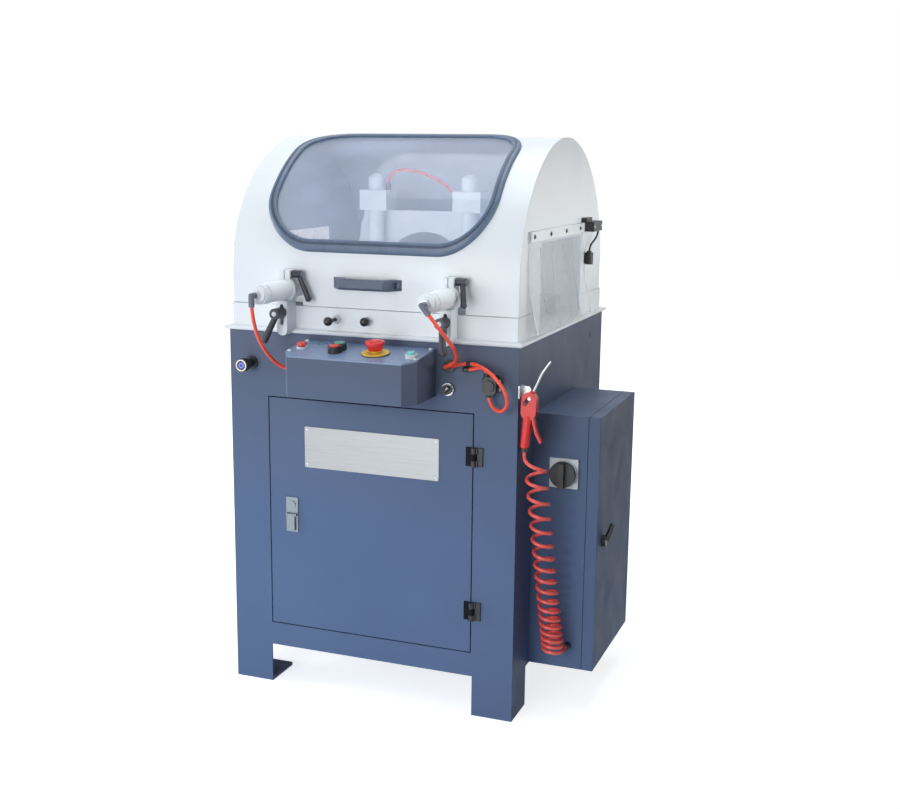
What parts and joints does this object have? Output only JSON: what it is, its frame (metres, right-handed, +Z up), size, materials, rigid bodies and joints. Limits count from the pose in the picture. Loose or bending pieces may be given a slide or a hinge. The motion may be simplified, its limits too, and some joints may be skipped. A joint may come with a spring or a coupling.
{
  "type": "cold saw",
  "caption": "Enclosed free-standing cold saw: sheet cabinet, arched hood with window, rising blade, air clamps, control box, electrical box and coiled air gun.",
  "frame": {"origin": "on the floor, under the middle of the machine's bounding box (hoses left out)", "axes": "+X to the right seen from the front, +Y to the back, +Z up"},
  "size_m": [0.9008, 0.9054, 1.2976],
  "materials": {
    "cabinet_paint": "satin enamel",
    "white_paint": "satin enamel",
    "window": "clear, slightly blue",
    "clear_sheet": "clear soft sheet",
    "gasket": "matt",
    "ground_steel": "ground",
    "alloy": "turned, satin",
    "black_plastic": "fine grain",
    "black_steel": "black enamel",
    "pale_plastic": "fine grain",
    "red_plastic": "gloss",
    "yellow_plastic": "gloss",
    "green_plastic": "gloss",
    "teal_plastic": "gloss",
    "blue_plastic": "gloss",
    "red_hose": "smooth",
    "black_cable": "matt"
  },
  "bodies": {
    "frame": {"cabinet_shell": "cabinet_paint", "control_box": "cabinet_paint", "control_lid": "cabinet_paint", "ebox_shell": "cabinet_paint", "base_tray": "white_paint", "clamp_bridge": "white_paint", "clamp_posts": "white_paint", "air_cylinders": "white_paint", "work_table": "ground_steel", "gun_nozzle": "ground_steel", "gun_hook": "ground_steel", "selector_collar": "ground_steel", "air_fittings": "black_plastic", "feed_valve_base": "black_plastic", "twin_button_body": "black_plastic", "flow_regulator": "black_plastic", "door_hinge_leaves": "black_steel", "isolator_plate": "pale_plastic", "gun_body": "red_plastic", "estop_collar": "yellow_plastic", "left_clamp_hose": "red_hose", "right_clamp_hose": "red_hose", "regulator_loop_hose": "red_hose", "regulator_feed_hose": "red_hose", "bridge_hose": "red_hose", "coil_hose": "red_hose"},
    "hood": {"hood_shell": "white_paint", "hood_window": "window", "window_gasket": "gasket", "hood_handle": "black_plastic", "curtains": "clear_sheet", "interlock_switch": "black_plastic", "interlock_cable": "black_cable"},
    "cabinet_door": {"cabinet_door": "cabinet_paint", "door_latch": "ground_steel"},
    "latch_paddle": {"latch_paddle": "ground_steel"},
    "ebox_door": {"ebox_door": "cabinet_paint"},
    "ebox_latch": {"ebox_latch": "black_plastic"},
    "isolator_knob": {"isolator_knob": "black_plastic"},
    "estop_button": {"estop_button": "red_plastic"},
    "red_button": {"red_button": "red_plastic"},
    "green_button": {"green_button": "green_plastic"},
    "pilot_button": {"pilot_button": "red_plastic"},
    "start_button": {"start_button": "teal_plastic"},
    "selector_knob": {"selector_knob": "black_plastic"},
    "feed_knob": {"feed_knob": "blue_plastic"},
    "left_pull_knob": {"left_pull_knob": "black_plastic"},
    "right_pull_knob": {"right_pull_knob": "black_plastic"},
    "left_upper_lever": {"left_upper_lever": "black_plastic"},
    "right_upper_lever": {"right_upper_lever": "black_plastic"},
    "left_lower_lever": {"left_lower_lever": "black_plastic"},
    "right_lower_lever": {"right_lower_lever": "black_plastic"},
    "left_clamp_rod": {"left_clamp_rod": "ground_steel"},
    "right_clamp_rod": {"right_clamp_rod": "ground_steel"},
    "left_top_rod": {"left_top_rod": "ground_steel"},
    "right_top_rod": {"right_top_rod": "ground_steel"},
    "gun_trigger": {"gun_trigger": "red_plastic"},
    "saw_arm": {"saw_arm": "cabinet_paint", "saw_motor": "alloy"},
    "saw_blade": {"saw_blade": "ground_steel"}
  },
  "joints": [
    {"name": "hood_hinge", "type": "hinge", "parent": "frame", "child": "hood", "pos_m": [-0.07664, 0.44575, 0.908], "axis": [-1, 0, 0], "range_deg": [0, 75]},
    {"name": "cabinet_door_hinge", "type": "hinge", "parent": "frame", "child": "cabinet_door", "pos_m": [0.17636, -0.28325, 0.424], "axis": [0, 0, 1], "range_deg": [0, 110]},
    {"name": "latch_paddle_hinge", "type": "hinge", "parent": "cabinet_door", "child": "latch_paddle", "pos_m": [-0.27064, -0.28225, 0.42407], "axis": [-1, 0, 0], "range_deg": [0, 35], "stiffness_Nm_per_rad": 0.05},
    {"name": "ebox_door_hinge", "type": "hinge", "parent": "frame", "child": "ebox_door", "pos_m": [0.39936, 0.18975, 0.392], "axis": [0, 0, 1], "range_deg": [0, 110]},
    {"name": "ebox_latch_hinge", "type": "hinge", "parent": "ebox_door", "child": "ebox_latch", "pos_m": [0.42536, -0.09825, 0.392], "axis": [1, 0, 0], "range_deg": [0, 90]},
    {"name": "isolator_knob_hinge", "type": "hinge", "parent": "frame", "child": "isolator_knob", "pos_m": [0.34636, -0.17025, 0.556], "axis": [0, 1, 0], "range_deg": [0, 90]},
    {"name": "estop_button_slide", "type": "slide", "parent": "frame", "child": "estop_button", "axis": [0, 0.1144, -0.9934], "range_m": [0, 0.004], "stiffness_N_per_m": 800},
    {"name": "red_button_slide", "type": "slide", "parent": "frame", "child": "red_button", "axis": [0, 0.1144, -0.9934], "range_m": [0, 0.0025], "stiffness_N_per_m": 500},
    {"name": "green_button_slide", "type": "slide", "parent": "frame", "child": "green_button", "axis": [0, 0.1144, -0.9934], "range_m": [0, 0.0025], "stiffness_N_per_m": 500},
    {"name": "pilot_button_slide", "type": "slide", "parent": "frame", "child": "pilot_button", "axis": [0, 0.1144, -0.9934], "range_m": [0, 0.003], "stiffness_N_per_m": 500},
    {"name": "start_button_slide", "type": "slide", "parent": "frame", "child": "start_button", "axis": [0, 0.1144, -0.9934], "range_m": [0, 0.003], "stiffness_N_per_m": 500},
    {"name": "selector_knob_hinge", "type": "hinge", "parent": "frame", "child": "selector_knob", "pos_m": [0.11446, -0.28225, 0.75], "axis": [0, 1, 0], "range_deg": [-45, 45]},
    {"name": "feed_knob_hinge", "type": "hinge", "parent": "frame", "child": "feed_knob", "pos_m": [-0.37064, -0.30625, 0.775], "axis": [0, 1, 0], "range_deg": [-150, 150]},
    {"name": "left_pull_knob_slide", "type": "slide", "parent": "frame", "child": "left_pull_knob", "axis": [0, 1, 0], "range_m": [0, 0.025]},
    {"name": "right_pull_knob_slide", "type": "slide", "parent": "frame", "child": "right_pull_knob", "axis": [0, -1, 0], "range_m": [0, 0.025]},
    {"name": "left_upper_lever_hinge", "type": "hinge", "parent": "frame", "child": "left_upper_lever", "pos_m": [-0.27164, -0.28425, 0.984], "axis": [-1, 0, 0], "range_deg": [0, 90]},
    {"name": "right_upper_lever_hinge", "type": "hinge", "parent": "frame", "child": "right_upper_lever", "pos_m": [0.11836, -0.28425, 0.984], "axis": [-1, 0, 0], "range_deg": [-28, 60]},
    {"name": "left_lower_lever_hinge", "type": "hinge", "parent": "frame", "child": "left_lower_lever", "pos_m": [-0.27164, -0.31625, 0.9], "axis": [0, -1, 0], "range_deg": [-40, 40]},
    {"name": "right_lower_lever_hinge", "type": "hinge", "parent": "frame", "child": "right_lower_lever", "pos_m": [0.11836, -0.31625, 0.9], "axis": [0, -1, 0], "range_deg": [-30, 8]},
    {"name": "left_clamp_rod_slide", "type": "slide", "parent": "frame", "child": "left_clamp_rod", "axis": [0, 1, 0], "range_m": [0, 0.12], "stiffness_N_per_m": 200, "springref_m": -0.04},
    {"name": "right_clamp_rod_slide", "type": "slide", "parent": "frame", "child": "right_clamp_rod", "axis": [0, 1, 0], "range_m": [0, 0.12], "stiffness_N_per_m": 200, "springref_m": -0.04},
    {"name": "left_top_rod_slide", "type": "slide", "parent": "frame", "child": "left_top_rod", "axis": [0, 0, -1], "range_m": [0, 0.06], "stiffness_N_per_m": 300, "springref_m": -0.04},
    {"name": "right_top_rod_slide", "type": "slide", "parent": "frame", "child": "right_top_rod", "axis": [0, 0, -1], "range_m": [0, 0.06], "stiffness_N_per_m": 300, "springref_m": -0.04},
    {"name": "gun_trigger_hinge", "type": "hinge", "parent": "frame", "child": "gun_trigger", "pos_m": [0.30436, -0.26625, 0.704], "axis": [0, 1, 0], "range_deg": [0, 9], "stiffness_Nm_per_rad": 0.1},
    {"name": "saw_arm_hinge", "type": "hinge", "parent": "frame", "child": "saw_arm", "pos_m": [-0.07664, 0.28375, 0.68], "axis": [-1, 0, 0], "range_deg": [0, 25]},
    {"name": "saw_blade_spin", "type": "hinge", "parent": "saw_arm", "child": "saw_blade", "pos_m": [-0.07664, 0.02375, 0.69], "axis": [1, 0, 0], "continuous": true}
  ]
}
